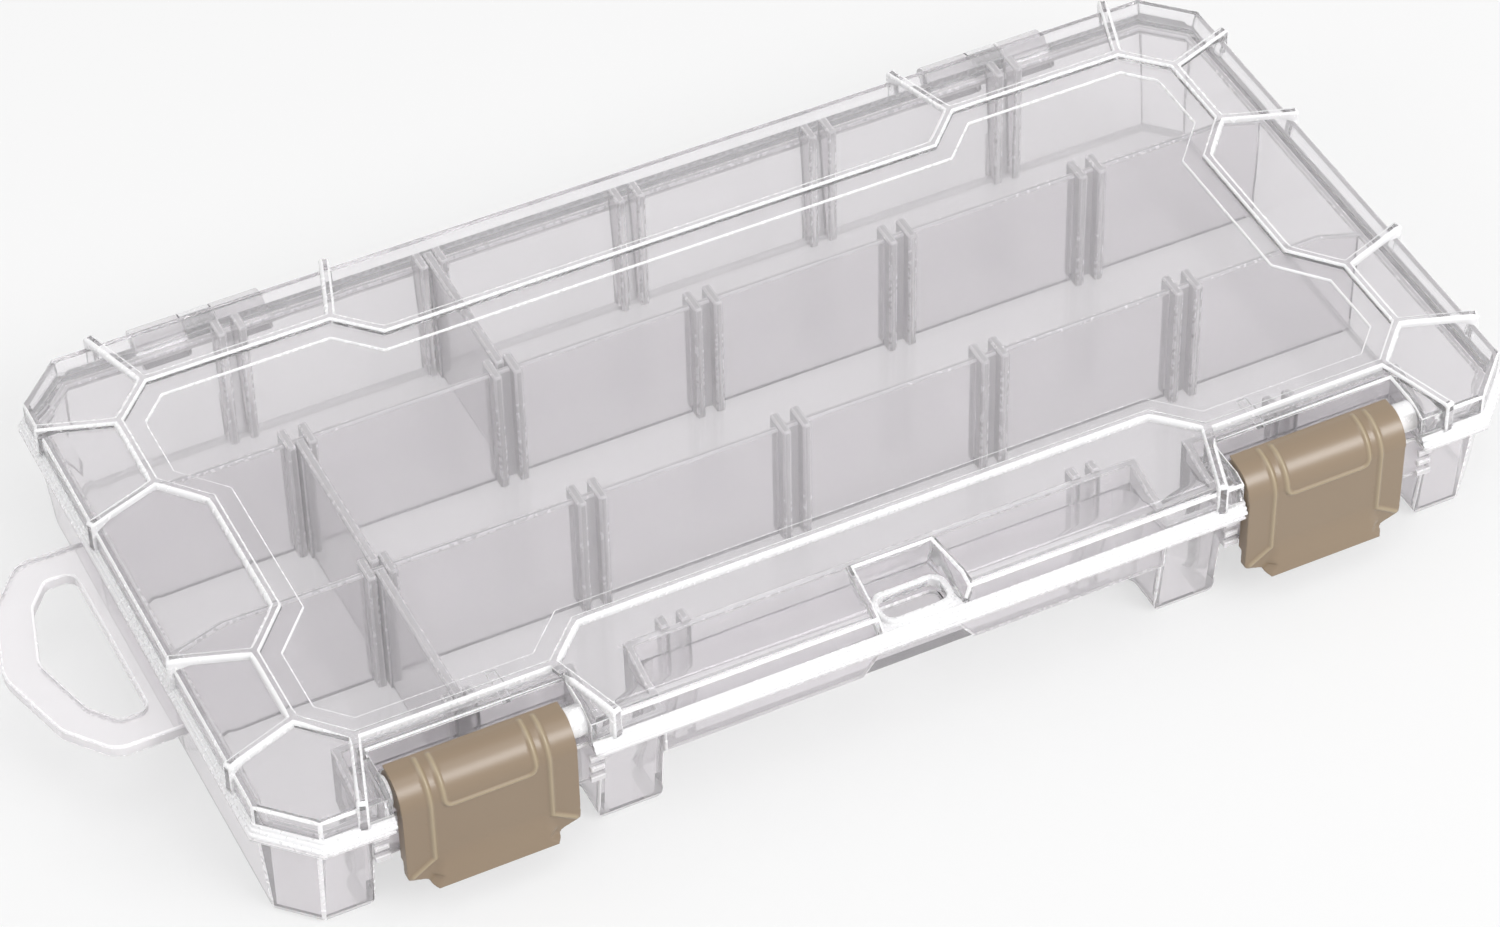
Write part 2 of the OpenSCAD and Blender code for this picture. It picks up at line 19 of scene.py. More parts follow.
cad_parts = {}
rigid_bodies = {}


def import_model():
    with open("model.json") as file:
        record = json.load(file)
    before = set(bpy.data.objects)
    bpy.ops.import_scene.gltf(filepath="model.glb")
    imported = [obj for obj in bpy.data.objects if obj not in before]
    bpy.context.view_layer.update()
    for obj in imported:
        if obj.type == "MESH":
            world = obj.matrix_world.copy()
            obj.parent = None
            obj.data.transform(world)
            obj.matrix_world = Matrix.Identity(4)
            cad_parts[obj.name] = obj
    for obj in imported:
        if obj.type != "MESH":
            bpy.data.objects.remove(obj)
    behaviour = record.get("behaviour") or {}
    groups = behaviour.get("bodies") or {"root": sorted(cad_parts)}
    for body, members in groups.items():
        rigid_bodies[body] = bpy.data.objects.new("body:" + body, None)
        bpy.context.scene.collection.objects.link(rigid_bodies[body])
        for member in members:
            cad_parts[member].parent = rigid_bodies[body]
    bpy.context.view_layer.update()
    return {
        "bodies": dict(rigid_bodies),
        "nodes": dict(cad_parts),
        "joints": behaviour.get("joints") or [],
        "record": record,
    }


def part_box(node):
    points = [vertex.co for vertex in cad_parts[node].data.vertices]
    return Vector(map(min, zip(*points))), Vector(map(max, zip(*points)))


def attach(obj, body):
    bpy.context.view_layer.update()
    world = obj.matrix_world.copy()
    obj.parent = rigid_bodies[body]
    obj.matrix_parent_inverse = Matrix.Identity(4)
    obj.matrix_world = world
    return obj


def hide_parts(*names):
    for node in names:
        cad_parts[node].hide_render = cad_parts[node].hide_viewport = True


LOG = logging.getLogger("art_supply_box")
MERGE = 0.002  # millimetres within which loose corners of a CAD copy are joined
SLIVER = 0.02  # millimetres under which a face is too thin to keep
FLAT = 1.0  # degrees within which neighbouring triangles count as one flat face
TURNED = 28.0  # degrees from which an outer edge is rounded
SHARP = 35.0  # degrees from which an edge is shaded sharp
TINY = 1e-9  # smaller than any length or area that matters, in metres
Point = tuple[float, float]
EdgeKey = tuple[int, int]
EdgeEnd = tuple[int, Vector, float, EdgeKey]


def mm(*values: float) -> Vector | float:
    """Turns millimetres into metres, one number or a point."""
    return values[0] / 1000 if len(values) == 1 else Vector(v / 1000 for v in values)


def only(*pieces: bpy.types.Object) -> None:
    """Deselects everything, then selects the pieces and makes the first one active."""
    bpy.ops.object.select_all(action="DESELECT")
    for piece in pieces:
        piece.select_set(True)
    bpy.context.view_layer.objects.active = pieces[0]


def smoothstep(low: float, high: float, value: float) -> float:
    """Rises smoothly from 0 at low to 1 at high."""
    t = min(max((value - low) / (high - low), 0.0), 1.0)
    return t * t * (3 - 2 * t)


# ------------------------------------------------------------------ shader groups


class Tree:
    """A node tree that is being written, with short ways to add and join nodes."""

    def __init__(self, tree: bpy.types.NodeTree) -> None:
        """Starts on an existing tree."""
        self.tree = tree

    def add(self, kind: str, inputs: dict | None = None, **settings: object) -> bpy.types.Node:
        """Adds a node.

        Args:
            kind: the node's type, without its ShaderNode prefix.
            inputs: plain values or output sockets, by input name or number.
            settings: attributes of the node itself.

        Returns:
            The new node.
        """
        node = self.tree.nodes.new("ShaderNode" + kind)
        for name, value in settings.items():
            setattr(node, name, value)
        for key, value in (inputs or {}).items():
            if isinstance(value, bpy.types.NodeSocket):
                self.tree.links.new(value, node.inputs[key])
            else:
                node.inputs[key].default_value = value
        return node

    def ramp(self, factor: bpy.types.NodeSocket, stops: list[tuple[float, float]]) -> bpy.types.NodeSocket:
        """Adds a grey colour ramp and returns its colour output."""
        node = self.add("ValToRGB", {0: factor})
        elements = node.color_ramp.elements
        for k, (place, grey) in enumerate(stops):
            stop = elements[k] if k < 2 else elements.new(place)
            stop.position = place
            stop.color = (grey, grey, grey, 1)
        return node.outputs["Color"]


class Group(Enum):
    """The shader effects that more than one finish uses."""

    FLOW = "moulding_flow"
    GRAIN = "satin_grain"


def new_group(kind: Group, inputs: dict[str, float], outputs: list[str]) -> tuple[Tree, dict]:
    """Starts a node group with float inputs and outputs.

    Returns:
        The tree, and its input sockets by name with the output node under "out".
    """
    group = bpy.data.node_groups.new(kind.value, "ShaderNodeTree")
    for name, value in inputs.items():
        socket = group.interface.new_socket(name, in_out="INPUT", socket_type="NodeSocketFloat")
        socket.default_value = value
    for name in outputs:
        group.interface.new_socket(name, in_out="OUTPUT", socket_type="NodeSocketFloat")
    tree = Tree(group)
    start = group.nodes.new("NodeGroupInput")
    ends = {name: start.outputs[name] for name in inputs}
    ends["out"] = group.nodes.new("NodeGroupOutput")
    return tree, ends


def build_flow() -> None:
    """Makes the slow waves and streaks that plastic shows where it flowed and cooled in its mould."""
    tree, ends = new_group(Group.FLOW, {"Scale": 30.0, "Low": 0.02, "High": 0.08}, ["Rough", "Height"])
    place = tree.add("TexCoord").outputs["Object"]
    stretched = tree.add("Mapping", {"Vector": place, "Scale": (0.35, 1.0, 1.6)})
    wave = tree.add("TexNoise", {"Vector": stretched.outputs[0], "Scale": ends["Scale"], "Detail": 2.0,
                                 "Roughness": 0.45})
    fine = tree.add("TexNoise", {"Vector": place, "Scale": 900.0, "Detail": 1.0})
    mixed = tree.add("Math", {0: wave.outputs["Fac"], 1: fine.outputs["Fac"]}, operation="MULTIPLY")
    rough = tree.add("MapRange", {"Value": mixed.outputs[0], "From Min": 0.15, "From Max": 0.4,
                                  "To Min": ends["Low"], "To Max": ends["High"]})
    tree.tree.links.new(rough.outputs[0], ends["out"].inputs["Rough"])
    tree.tree.links.new(wave.outputs["Fac"], ends["out"].inputs["Height"])


def build_grain() -> None:
    """Makes the fine spark-eroded texture of a satin moulding, with faint handling polish."""
    tree, ends = new_group(Group.GRAIN, {"Scale": 2600.0, "Polish": 30.0}, ["Height", "Polished"])
    place = tree.add("TexCoord").outputs["Object"]
    fine = tree.add("TexNoise", {"Vector": place, "Scale": ends["Scale"], "Detail": 3.0, "Roughness": 0.6})
    soft = tree.add("TexNoise", {"Vector": place, "Scale": ends["Polish"], "Detail": 1.0})
    mask = tree.ramp(soft.outputs["Fac"], [(0.25, 0.0), (0.8, 1.0)])
    tree.tree.links.new(fine.outputs["Fac"], ends["out"].inputs["Height"])
    tree.tree.links.new(mask, ends["out"].inputs["Polished"])


def place_group(tree: Tree, kind: Group, values: dict[str, float]) -> bpy.types.Node:
    """Places a shader group in a material, with its own values."""
    return tree.add("Group", values, node_tree=bpy.data.node_groups[kind.value])


# ------------------------------------------------------------------ finishes


@dataclass(frozen=True)
class ClearPlastic:
    """A clear or slightly milky moulded plastic."""

    name: str
    tint: tuple[float, float, float]
    clear: float = 0.96
    rough_low: float = 0.01
    rough_high: float = 0.06
    wave_scale: float = 30.0
    wave_depth: float = 0.003
    ior: float = 1.49

    def build(self) -> bpy.types.Material:
        """Makes the material."""
        material = bpy.data.materials.new(self.name)
        material.use_nodes = True
        tree = Tree(material.node_tree)
        shader = material.node_tree.nodes["Principled BSDF"]
        flow = place_group(tree, Group.FLOW, {"Scale": self.wave_scale, "Low": self.rough_low,
                                              "High": self.rough_high})
        bump = tree.add("Bump", {"Height": flow.outputs["Height"], "Strength": 0.3,
                                 "Distance": mm(self.wave_depth)})
        shader.inputs["Base Color"].default_value = (*self.tint, 1)
        shader.inputs["Transmission Weight"].default_value = self.clear
        shader.inputs["IOR"].default_value = self.ior
        material.node_tree.links.new(flow.outputs["Rough"], shader.inputs["Roughness"])
        material.node_tree.links.new(bump.outputs["Normal"], shader.inputs["Normal"])
        return material


@dataclass(frozen=True)
class SatinPlastic:
    """An opaque satin moulded plastic, a little more polished where fingers rub it."""

    name: str
    colour: tuple[float, float, float]
    worn: tuple[float, float, float]
    rough: float = 0.37
    polished: float = 0.31
    grain_depth: float = 0.012
    # A lighter tan on the raised lines: a painted highlight along them.
    ridge_highlight: tuple[float, float, float] = (0.36, 0.284, 0.18)
    mask: str = "raised"

    def build(self) -> bpy.types.Material:
        """Makes the material."""
        material = bpy.data.materials.new(self.name)
        material.use_nodes = True
        tree = Tree(material.node_tree)
        shader = material.node_tree.nodes["Principled BSDF"]
        grain = place_group(tree, Group.GRAIN, {})
        colour = tree.add("Mix", {"Factor": grain.outputs["Polished"], "A": (*self.colour, 1),
                                  "B": (*self.worn, 1)}, data_type="RGBA")
        # The raised-line mask mixes in the lighter tan, a painted highlight on the lines.
        raised = tree.add("Attribute", attribute_name=self.mask).outputs["Fac"]
        ridge_highlighted = tree.add("Mix", {"Factor": raised, "A": colour.outputs["Result"], "B": (*self.ridge_highlight, 1)},
                         data_type="RGBA")
        rough = tree.add("MapRange", {"Value": grain.outputs["Polished"], "To Min": self.rough,
                                      "To Max": self.polished})
        bump = tree.add("Bump", {"Height": grain.outputs["Height"], "Strength": 0.35,
                                 "Distance": mm(self.grain_depth)})
        shader.inputs["Specular IOR Level"].default_value = 0.9
        links = material.node_tree.links
        links.new(ridge_highlighted.outputs["Result"], shader.inputs["Base Color"])
        links.new(rough.outputs[0], shader.inputs["Roughness"])
        links.new(bump.outputs["Normal"], shader.inputs["Normal"])
        return material


LID_CLEAR = ClearPlastic("lid_clear_plastic", (0.997, 0.99, 1.0), clear=0.95)
# The lid's rounded edges and narrow faces get a whiter, more opaque plastic, which shows as painted
# highlight lines along them.
LID_EDGE_HIGHLIGHT = ClearPlastic("lid_edge_highlight_plastic", (0.985, 0.98, 0.99), clear=0.2, rough_low=0.2, rough_high=0.35)
TRAY_CLEAR = ClearPlastic("tray_milky_plastic", (0.994, 0.974, 0.992), clear=0.82, rough_low=0.03,
                          rough_high=0.1, wave_scale=22.0)
# The rounded edges of the tray and the dividers get a whiter, more opaque plastic, which shows as painted
# highlight lines along them.
TRAY_EDGE_HIGHLIGHT = ClearPlastic("tray_edge_highlight_plastic", (0.99, 0.972, 0.988), clear=0.25, rough_low=0.2,
                         rough_high=0.35)
DIVIDER_CLEAR = ClearPlastic("divider_milky_plastic", (0.975, 0.953, 0.972), clear=0.7, rough_low=0.06,
                             rough_high=0.16, wave_scale=26.0)
TRAY_RIB = ClearPlastic("tray_rib_plastic", (0.99, 0.972, 0.988), clear=0.45, rough_low=0.1, rough_high=0.2)
PIN_CLEAR = ClearPlastic("pin_plastic", (0.95, 0.94, 0.96), clear=0.9, rough_low=0.05, rough_high=0.12)
LATCH_TAN = SatinPlastic("latch_tan_plastic", (0.235, 0.167, 0.104), (0.254, 0.185, 0.117))


# ------------------------------------------------------------------ pieces


def merged_copy(frame: dict, node: str, name: str) -> bpy.types.Object:
    """Copies a CAD node's shape and joins its loose triangles into flat faces.

    Args:
        node: the CAD node's name.
        name: the new piece's name.

    Returns:
        The new piece, at the origin, with its place in its mesh.
    """
    piece = bpy.data.objects.new(name, frame["nodes"][node].data.copy())
    bpy.context.scene.collection.objects.link(piece)
    only(piece)
    bpy.ops.object.mode_set(mode="EDIT")
    bpy.ops.mesh.select_all(action="SELECT")
    bpy.ops.mesh.remove_doubles(threshold=mm(MERGE))
    bpy.ops.mesh.dissolve_degenerate(threshold=mm(SLIVER))
    bpy.ops.mesh.dissolve_limited(angle_limit=math.radians(FLAT))
    bpy.ops.mesh.dissolve_degenerate(threshold=mm(SLIVER))
    bpy.ops.object.mode_set(mode="OBJECT")
    return piece


def outer_edges(mesh: bpy.types.Mesh, least: float = TURNED) -> set[EdgeKey]:
    """Finds the edges at which two faces turn away from each other.

    Args:
        mesh: a mesh of flat faces.
        least: the smallest turn, in degrees.

    Returns:
        The edges' keys.
    """
    sides: dict[EdgeKey, list[tuple[Vector, Vector]]] = {}
    for face in mesh.polygons:
        for i, j in zip(face.vertices, [*face.vertices[1:], face.vertices[0]]):
            along = mesh.vertices[j].co - mesh.vertices[i].co
            sides.setdefault((min(i, j), max(i, j)), []).append((face.normal, face.normal.cross(along)))
    return {key for key, both in sides.items() if len(both) == 2
            and both[0][0].angle(both[1][0], 0) > math.radians(least) and both[1][1].dot(both[0][0]) < 0}


def edge_room(mesh: bpy.types.Mesh, turned: set[EdgeKey], share: float,
              lone_share: float) -> dict[EdgeKey, float]:
    """Measures, for each turned edge, how far it can be rounded into its narrower face.

    Args:
        mesh: a mesh of flat faces.
        turned: its turned edges.
        share: the share of the face that is free when the edge across is rounded too.
        lone_share: the share that is free when it is not.

    Returns:
        The room in metres, by edge key.
    """
    room: dict[EdgeKey, float] = {}
    for face in mesh.polygons:
        corners = [mesh.vertices[i].co for i in face.vertices]
        keys = [tuple(sorted((i, j))) for i, j in zip(face.vertices, [*face.vertices[1:], face.vertices[0]])]
        ends = list(zip(keys, corners, [*corners[1:], corners[0]]))
        ends = [(key, a, b) for key, a, b in ends if (b - a).length > 1e-7]
        for key, a, b in ends:
            if key not in turned:
                continue
            along = (b - a).normalized()
            inward = face.normal.cross(along)
            for part in (0.1, 0.5, 0.9):
                start = a.lerp(b, part)
                for other, p, q in ends:
                    if other == key:
                        continue
                    pu, pv = (p - start).dot(along), (p - start).dot(inward)
                    qu, qv = (q - start).dot(along), (q - start).dot(inward)
                    if pu * qu > 0 or abs(pu - qu) < TINY:
                        continue
                    reach = pv + (qv - pv) * pu / (pu - qu)
                    if reach > 1e-5:
                        reach *= share if other in turned else lone_share
                        room[key] = min(room.get(key, 1.0), reach)
    return room


def edges_around(mesh: bpy.types.Mesh) -> dict[int, list[EdgeEnd]]:
    """Lists the edges that meet at each corner, as far corner, direction, length and key."""
    around: dict[int, list[EdgeEnd]] = {}
    for edge in mesh.edges:
        for corner, other in (edge.vertices, reversed(edge.vertices)):
            way = mesh.vertices[other].co - mesh.vertices[corner].co
            around.setdefault(corner, []).append((other, way.normalized(), way.length, edge.key))
    return around


def split_ends(mesh: bpy.types.Mesh, turned: set[EdgeKey], lead: float) -> None:
    """Adds a corner near both ends of each long turned edge, so that its middle is rounded apart.

    Args:
        mesh: the mesh, which is changed.
        turned: its turned edges.
        lead: how far from its ends an edge is split, in metres.
    """
    work = bmesh.new()
    work.from_mesh(mesh)
    for edge in list(work.edges):
        first, last = edge.verts
        length = edge.calc_length()
        if (min(first.index, last.index), max(first.index, last.index)) not in turned or length < 3 * lead:
            continue
        stub, _ = bmesh.utils.edge_split(edge, first, lead / length)
        rest = max((edge, stub), key=lambda one: one.calc_length())
        bmesh.utils.edge_split(rest, last, lead / rest.calc_length())
    work.to_mesh(mesh)
    work.free()


def crest_edges(mesh: bpy.types.Mesh, height: float) -> set[EdgeKey]:
    """Finds the edges at a height, in metres, whose upright side faces outward from the middle."""
    found: set[EdgeKey] = set()
    for face in mesh.polygons:
        away = Vector((face.center.x / 2.5, face.center.y, 0))
        if abs(face.normal.z) < 0.2 and face.normal.dot(away) > 0:
            found.update(key for key in face.edge_keys
                         if all(abs(mesh.vertices[i].co.z - height) < mm(0.05) for i in key))
    return found


def line_distance(point: Vector, a: Vector, b: Vector) -> float:
    """Gives the distance of a point from the straight line between a and b."""
    along = b - a
    share = min(max((point - a).dot(along) / along.length_squared, 0.0), 1.0)
    return (point - a - share * along).length


def folded_places(mesh: bpy.types.Mesh) -> list[Vector]:
    """Finds the places at which a face's outline crosses itself."""
    mesh.calc_loop_triangles()
    spread: dict[int, float] = {}
    for part in mesh.loop_triangles:
        spread[part.polygon_index] = spread.get(part.polygon_index, 0.0) + part.area
    places: list[Vector] = []
    for face in mesh.polygons:
        if abs(spread.get(face.index, 0.0) - face.area) < 2e-8 + 0.01 * face.area:
            continue
        corners = [mesh.vertices[i].co for i in face.vertices]
        across = (corners[1] - corners[0]).normalized()
        up = face.normal.cross(across)
        flat = [((c - corners[0]).dot(across), (c - corners[0]).dot(up)) for c in corners]
        sides = list(zip(flat, flat[1:] + flat[:1]))
        ends = list(zip(corners, corners[1:] + corners[:1]))
        found = [min(ends[i], ends[j], key=lambda end: (end[1] - end[0]).length)
                 for i in range(len(sides)) for j in range(i + 2, len(sides))
                 if sides_cross(sides[i], sides[j])]
        places += [(a + b) / 2 for a, b in found] or (corners if len(corners) < 9 else [])
    return places


def sides_cross(one: tuple[Point, Point], other: tuple[Point, Point]) -> bool:
    """Says whether two flat lines cross between their ends."""
    (a, b), (c, d) = one, other

    def side(p: Point, q: Point, r: Point) -> float:
        """Tells by its sign on which side of the line from p to q the point r lies."""
        return (q[0] - p[0]) * (r[1] - p[1]) - (q[1] - p[1]) * (r[0] - p[0])

    if max(a[0], b[0]) < min(c[0], d[0]) or max(c[0], d[0]) < min(a[0], b[0]):
        return False
    return side(a, b, c) * side(a, b, d) < 0 and side(c, d, a) * side(c, d, b) < 0


@dataclass
class Moulding:
    """A clear moulding, shaped like its CAD node with every long edge softened.

    Attributes:
        node, piece_name, body: the CAD node, and the piece's name and body.
        slot: not used.
        edge, crest_edge, crest: rounding of an edge, and of the edges at the height of the crest.
        shortest, lead: the shortest edge that is rounded, and the length of a long edge's ends.
        reach, widen, shrink, tries: how folds are mended: how far from a fold edges are rounded less,
            how that grows with each try, by how much they are, and after how many tries it ends.
        share, lone_share: the share of a face that one rounding may take.
        in_line: the cosine under which two edges run on in one line.
        narrow: the width under which a face is a rib's.
        lift: how far the piece is raised, so that it doesn't share a face with what it rests on.
    """

    node: str
    piece_name: str
    body: str
    slot: str
    edge: float = 0.45
    crest: float = 0.0
    crest_edge: float = 0.45
    segments: int = 3
    shortest: float = 1.2
    lead: float = 1.6
    reach: float = 1.2
    tries: int = 12
    shrink: float = 0.65
    widen: float = 0.2
    in_line: float = -0.8
    share: float = 0.4
    lone_share: float = 0.8
    narrow: float = 0.6
    lift: float = 0.0

    def soften(self, piece: bpy.types.Object) -> None:
        """Rounds the edges that are long enough, each as far as it has room.

        Where rounding folds a face, the edges there are rounded less and the piece is done again.
        """
        split_ends(piece.data, outer_edges(piece.data), mm(self.lead))
        plain = piece.data
        turned = outer_edges(plain)
        room = edge_room(plain, turned, self.share, self.lone_share)
        around = edges_around(plain)
        crests = crest_edges(plain, mm(self.crest)) if self.crest else set()
        weights: dict[int, float] = {}
        for edge in plain.edges:
            if edge.key not in turned:
                continue
            limit, runs_on = room.get(edge.key, 1.0), 0
            for corner, other in (edge.vertices, reversed(edge.vertices)):
                ahead = (plain.vertices[other].co - plain.vertices[corner].co).normalized()
                for far, way, length, key in around[corner]:
                    if key == edge.key:
                        continue
                    if way.dot(ahead) < self.in_line:
                        runs_on += key in turned
                        continue
                    lone = not any(k in turned and k != key for _, _, _, k in around[far])
                    limit = min(limit, length * (self.lone_share if lone else self.share))
            long = (plain.vertices[edge.vertices[0]].co - plain.vertices[edge.vertices[1]].co).length
            if long > mm(self.shortest) or runs_on > 1:
                most = self.crest_edge if edge.key in crests else self.edge
                weights[edge.index] = min(mm(most), limit) / mm(max(self.edge, self.crest_edge))
        for turn in range(self.tries):
            piece.data = plain.copy()
            self.round_edges(piece, weights)
            folds = folded_places(piece.data)
            LOG.info("%s: try %d leaves %d folds", self.piece_name, turn + 1, len(folds))
            if not folds:
                break
            for index, weight in weights.items():
                a, b = (plain.vertices[i].co for i in plain.edges[index].vertices)
                near = mm(self.reach) * (1 + self.widen * turn)
                if weight and any(line_distance(fold, a, b) < near for fold in folds):
                    weights[index] = weight * self.shrink if turn < self.tries - 2 else 0.0
        bpy.ops.object.shade_smooth_by_angle(angle=math.radians(SHARP))
        even = piece.modifiers.new("flat_faces", "WEIGHTED_NORMAL")
        even.keep_sharp = True
        bpy.ops.object.modifier_apply(modifier=even.name)

    def round_edges(self, piece: bpy.types.Object, weights: dict[int, float]) -> None:
        """Bevels the edges of a piece by their weights."""
        layer = piece.data.attributes.new("bevel_weight_edge", "FLOAT", "EDGE")
        for index, weight in weights.items():
            layer.data[index].value = weight
        bevel = piece.modifiers.new("soft_edges", "BEVEL")
        bevel.width = mm(max(self.edge, self.crest_edge))
        bevel.segments = self.segments
        bevel.limit_method = "WEIGHT"
        bevel.use_clamp_overlap = False
        # The rounded faces take the second finish, the whiter plastic of the painted highlight lines.
        bevel.material = 1
        only(piece)
        bpy.ops.object.modifier_apply(modifier=bevel.name)

    def build(self, frame: dict, *finishes: bpy.types.Material) -> bpy.types.Object:
        """Makes the moulding, gives it its finishes and puts it in its node's place.

        Args:
            finishes: the materials of the faces, of the rounded edges, which is whiter and more opaque
            so that they show as painted highlight lines, and of the faces that are narrower than a rib.

        Returns:
            The finished piece.
        """
        piece = merged_copy(frame, self.node, self.piece_name)
        piece.data.materials.clear()
        for finish in finishes:
            piece.data.materials.append(finish)
        piece.data.polygons.foreach_set("material_index", [0] * len(piece.data.polygons))
        self.soften(piece)
        corners = piece.data.vertices
        for face in piece.data.polygons:
            outline = sum((corners[i].co - corners[j].co).length for i, j in face.edge_keys)
            if face.material_index == 0 and 2 * face.area < mm(self.narrow) * outline:
                face.material_index = 2
        if self.lift:
            piece.data.transform(Matrix.Translation(mm(0, 0, self.lift)))
        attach(piece, self.body)
        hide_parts(self.node)
        LOG.info("%s: %d faces", self.piece_name, len(piece.data.polygons))
        return piece


@dataclass
class Latch:
    """A tan latch: a curved skin with raised lines and a flared lip for a fingertip.

    Attributes:
        voxel: size of the even mesh that is sculpted.
        line_out, line_half: height and half width of the raised lines.
        panel_x, panel_foot, panel_round, panel_rise: half width, foot, corners and height of the panel.
        side_x, knee_z, corner_z: the side lines' place, and where they turn and end.
        half, tip_half, tip_z: half widths above and at the foot, and the foot's height.
        flare: how far the foot stands out.
        shoulder: radius of the shoulder.
        cut_z, cut_flare: where the lower corners begin, and the share of the flare there.
        thin: the share of the sculpted mesh's faces that is kept.
        skin, facing: how deep the outer skin is taken to be, and how far it must face out.
        mask: the mesh attribute that marks the raised lines, where the finish paints a highlight.
    """

    node: str
    piece_name: str
    body: str
    voxel: float = 0.2
    line_out: float = 0.46
    line_half: float = 0.62
    panel_x: float = 8.4
    panel_foot: float = 25.0
    panel_round: float = 1.8
    side_x: float = 10.85
    knee_z: float = 13.3
    corner_z: float = 9.9
    tip_z: float = 7.2
    half: float = 16.0
    tip_half: float = 11.5
    flare: float = 1.2
    panel_rise: float = 0.14
    shoulder: float = 5.5
    cut_z: float = 9.7
    cut_flare: float = 0.4
    thin: float = 0.6
    skin: float = 0.5
    facing: float = 0.35
    mask: str = "raised"

    def lines(self) -> list[list[Point]]:
        """Gives the raised lines of the right half, as x from the middle and z."""
        q = self.panel_round
        corner = [(self.panel_x - q + q * math.cos(t), self.panel_foot + q - q * math.sin(t))
                  for t in (k * math.pi / 10 for k in range(6))]
        return [[(self.panel_x, 40.0), *corner, (0.0, self.panel_foot)],
                [(self.side_x, 40.0), (self.side_x, self.knee_z), (self.half, self.corner_z)]]

    def relief(self, x: float, z: float, depth: float) -> tuple[float, float]:
        """Says how far the raised lines and the panel stand out of the skin.

        Args:
            x: distance from the latch's middle.
            z: height of the point on the skin, or the height that it would have if the skin
                went on straight past the shoulder.
            depth: how far back from the shoulder's middle the point lies, for the fade at the top.

        Returns:
            The height of the relief in millimetres, and how much of it is a line, from 0 to 1.
        """
        across = abs(x)
        near = min(segment_distance((across, z), a, b)
                   for line in self.lines() for a, b in zip(line, line[1:]))
        line = max(0.0, 1 - (near / self.line_half) ** 2) ** 1.5
        inside = smoothstep(self.panel_x + 0.2, self.panel_x - 0.3, across) * smoothstep(
            self.panel_foot - 0.2, self.panel_foot + 0.3, z)
        fade = smoothstep(1.7, 0.6, depth)
        return (line * self.line_out + inside * self.panel_rise) * fade, line * fade

    def outline(self, z: float) -> float:
        """Gives the half width of the latch at a height, with its stepped lower corners."""
        steps = ((30.0, self.half), (10.5, self.half), (10.0, self.half - 0.15), (9.6, self.half - 0.75),
                 (9.1, self.tip_half + 1.9), (8.5, self.tip_half + 0.85), (7.7, self.tip_half + 0.4),
                 (self.tip_z, self.tip_half - 0.25), (0.0, self.tip_half - 0.4))
        for (z1, w1), (z0, w0) in zip(steps, steps[1:]):
            if z >= z0:
                return w0 + (w1 - w0) * (z - z0) / (z1 - z0)
        return steps[-1][1]

    def plain_outline(self, z: float) -> float:
        """Gives the half width of the CAD latch at a height."""
        if z >= self.cut_z:
            return self.half
        share = max(z - self.tip_z, 0) / (self.cut_z - self.tip_z)
        return self.tip_half + (self.half - self.tip_half) * share

    def plain_flare(self, z: float) -> float:
        """Says how far the CAD latch flares out at a height."""
        if z >= self.knee_z:
            return 0.0
        if z >= self.cut_z:
            return self.cut_flare * self.flare * (self.knee_z - z) / (self.knee_z - self.cut_z)
        rest = (1 - self.cut_flare) * (self.cut_z - z) / (self.cut_z - self.tip_z)
        return self.flare * (self.cut_flare + rest)

    def wanted_flare(self, x: float, z: float) -> float:
        """Says how far the real lip flares out: its middle swings out, its side corners stay flat."""
        down = smoothstep(self.knee_z + 1.2, self.tip_z - 2.0, z) * self.flare * 1.5
        edge = 9.0 + 2.2 * smoothstep(12.0, self.tip_z, z)
        return down * (1 - smoothstep(edge, edge + 2.2, abs(x)))

    def sculpt(self, mesh: bpy.types.Mesh, middle: float, face_y: float, top_z: float) -> None:
        """Moves the skin's points to the real latch's shape.

        Args:
            mesh: the latch's even mesh.
            middle: x of the latch's middle.
            face_y: y of the flat face.
            top_z: z of the flat top.
        """
        turn = (face_y + self.shoulder, top_z - self.shoulder)
        normals = [v.normal.copy() for v in mesh.vertices]
        raised = mesh.attributes.new(self.mask, "FLOAT", "POINT")
        for vertex, normal in zip(mesh.vertices, normals):
            x, y, z = (1000 * c for c in vertex.co)
            across = x - middle
            scale = self.outline(z) / self.plain_outline(z)
            move = Vector(((scale - 1) * across, 0, 0))
            if z < self.knee_z + 1.2:
                move.y += self.plain_flare(z) - self.wanted_flare(across, z)
            back, up = turn[0] - y, z - turn[1]
            skin = self.shoulder - self.skin
            outer = math.hypot(back, up) > skin if back > 0 and up > 0 else (
                back > skin if up <= 0 else up > skin)
            if outer and back > 0 and up > 0:
                short = (self.shoulder - math.hypot(back, up)) / math.hypot(back, up)
                move += Vector((0, -back * short, up * short))
            facing = normal.y < -self.facing or normal.z > self.facing
            if outer and facing:
                if up <= 0:
                    unrolled, depth = z, 0.0
                else:
                    angle = math.atan2(up, max(back, 1e-6))
                    unrolled = turn[1] + self.shoulder * angle + max(-back, 0)
                    depth = max(-back, 0)
                edge = smoothstep(self.half - 0.2, self.half - 0.9, abs(across))
                height, line = self.relief(across * scale, unrolled, depth)
                move += normal * height * edge
                # The line share is kept as the mask with which the finish paints a highlight on the lines.
                raised.data[vertex.index].value = line * edge
            vertex.co += move / 1000

